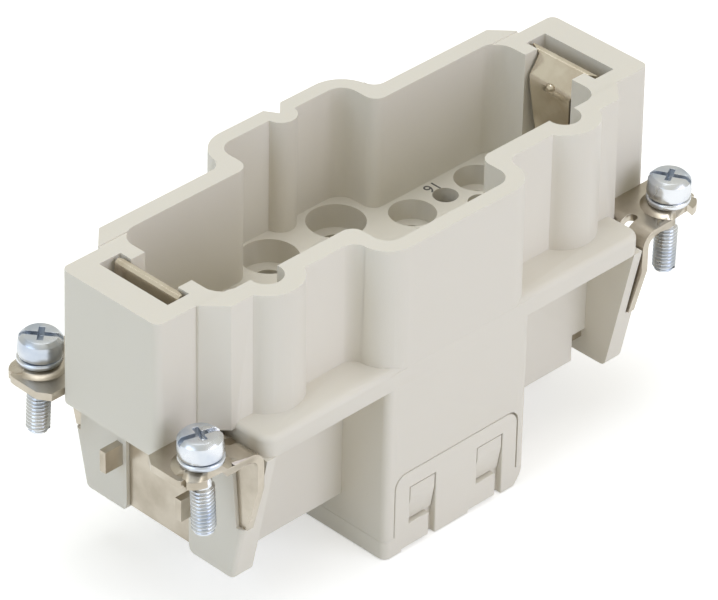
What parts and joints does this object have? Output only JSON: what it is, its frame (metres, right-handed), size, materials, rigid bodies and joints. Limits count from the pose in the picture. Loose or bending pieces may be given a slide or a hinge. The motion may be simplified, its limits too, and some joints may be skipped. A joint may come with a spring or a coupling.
{
  "type": "heavy duty connector insert",
  "caption": "Rectangular heavy duty connector insert with a moulded body, crimp contact wells, earth springs and captive fixing screws.",
  "frame": {"origin": "centre of the contact block's flat bottom face, midway between the four fixing screws", "axes": "+X along the insert's length, +Y to its back side with the key groove, +Z towards the mating side"},
  "size_m": [0.0856, 0.0326, 0.043],
  "materials": {
    "moulded_body": "fine matt moulded polycarbonate, light pebble grey",
    "plated_sheet": "pressed sheet, nickel plated",
    "spring_strip": "folded spring strip, plated",
    "zinc_screw": "bright zinc plated steel"
  },
  "bodies": {
    "root": {"insert_body": "moulded_body", "contact_retainer": "moulded_body", "fixing_bracket_left": "plated_sheet", "fixing_bracket_right": "plated_sheet", "earth_spring_left": "spring_strip", "earth_spring_right": "spring_strip", "fixing_screw_left_front": "zinc_screw", "fixing_screw_left_rear": "zinc_screw", "fixing_screw_right_front": "zinc_screw", "fixing_screw_right_rear": "zinc_screw", "lock_washer_left_front": "zinc_screw", "lock_washer_left_rear": "zinc_screw", "lock_washer_right_front": "zinc_screw", "lock_washer_right_rear": "zinc_screw"}
  },
  "joints": []
}
